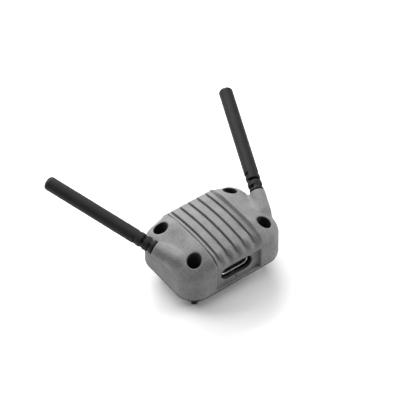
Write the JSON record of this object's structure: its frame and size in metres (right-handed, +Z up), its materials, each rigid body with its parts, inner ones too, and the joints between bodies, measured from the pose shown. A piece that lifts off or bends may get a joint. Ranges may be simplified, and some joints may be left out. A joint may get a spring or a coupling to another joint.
{
  "type": "wireless receiver unit",
  "caption": "Small domed wireless receiver with a ribbed top, a USB-C socket, corner screws standing out of its base, and rod antennas on flexible necks.",
  "frame": {"origin": "centre of the base plate's underside, in the middle of the four screws", "axes": "-Y out of the USB-C socket, +X to the right seen from the socket's side with +Z up, the screws point along -Z"},
  "size_m": [0.062, 0.0453, 0.0258],
  "materials": {
    "case_nylon": "fine grained glass-filled nylon, matte",
    "base_plastic": "fine textured, matte",
    "seal_rubber": "matte",
    "black_steel": "black oxide, satin",
    "board": "solder mask, semi-gloss",
    "connector_steel": "drawn stainless, satin",
    "connector_plastic": "moulded, matte",
    "gold_contacts": "gold plated, bright",
    "shield_tin": "tin plated, dull",
    "chip_resin": "moulded epoxy, matte",
    "ferrite": "sintered, matte",
    "ceramic": "fired ceramic, matte",
    "led_lens": "clear resin, gloss",
    "clear_plastic": "translucent grey, gloss",
    "antenna_rubber": "moulded, satin",
    "liner_plastic": "waxy white, matte",
    "copper_wire": "silvered copper, satin",
    "cable_jacket": "satin jacket"
  },
  "bodies": {
    "case": {"upper_shell": "case_nylon", "base_plate": "base_plastic", "base_gasket": "seal_rubber", "corner_screws": "black_steel", "main_board": "board", "usb_c_shell": "connector_steel", "usb_c_tongue": "connector_plastic", "usb_c_contacts": "gold_contacts", "radio_shield": "shield_tin", "radio_chip": "chip_resin", "amplifier_chips": "chip_resin", "controller_chip": "chip_resin", "clock_crystal": "shield_tin", "regulator_chip": "chip_resin", "power_inductor": "ferrite", "capacitors": "ceramic", "resistors": "chip_resin", "status_led": "led_lens", "light_pipe": "clear_plastic", "left_neck_collar": "antenna_rubber", "left_coax_cable": "cable_jacket", "left_coax_plug": "gold_contacts", "left_coax_socket": "gold_contacts", "right_neck_collar": "antenna_rubber", "right_coax_cable": "cable_jacket", "right_coax_plug": "gold_contacts", "right_coax_socket": "gold_contacts"},
    "left_link": {"left_neck_link": "antenna_rubber", "left_link_cable": "cable_jacket"},
    "left_antenna": {"left_antenna_sleeve": "antenna_rubber", "left_antenna_liner": "liner_plastic", "left_antenna_wire": "copper_wire"},
    "right_link": {"right_neck_link": "antenna_rubber", "right_link_cable": "cable_jacket"},
    "right_antenna": {"right_antenna_sleeve": "antenna_rubber", "right_antenna_liner": "liner_plastic", "right_antenna_wire": "copper_wire"}
  },
  "joints": [
    {"name": "left_neck_swing", "type": "hinge", "parent": "case", "child": "left_link", "pos_m": [-0.01739, 0.00365, 0.01176], "axis": [0.0834, -0.2034, 0.9755], "range_deg": [-12, 12], "stiffness_Nm_per_rad": 0.02},
    {"name": "left_neck_lift", "type": "hinge", "parent": "left_link", "child": "left_antenna", "pos_m": [-0.01817, 0.00555, 0.01222], "axis": [0.9252, 0.3795, 0], "range_deg": [-12, 12], "stiffness_Nm_per_rad": 0.02},
    {"name": "right_neck_swing", "type": "hinge", "parent": "case", "child": "right_link", "pos_m": [0.01739, 0.00365, 0.01176], "axis": [0.0834, 0.2034, -0.9755], "range_deg": [-12, 12], "stiffness_Nm_per_rad": 0.02},
    {"name": "right_neck_lift", "type": "hinge", "parent": "right_link", "child": "right_antenna", "pos_m": [0.01817, 0.00555, 0.01222], "axis": [0.9252, -0.3795, 0], "range_deg": [-12, 12], "stiffness_Nm_per_rad": 0.02}
  ]
}
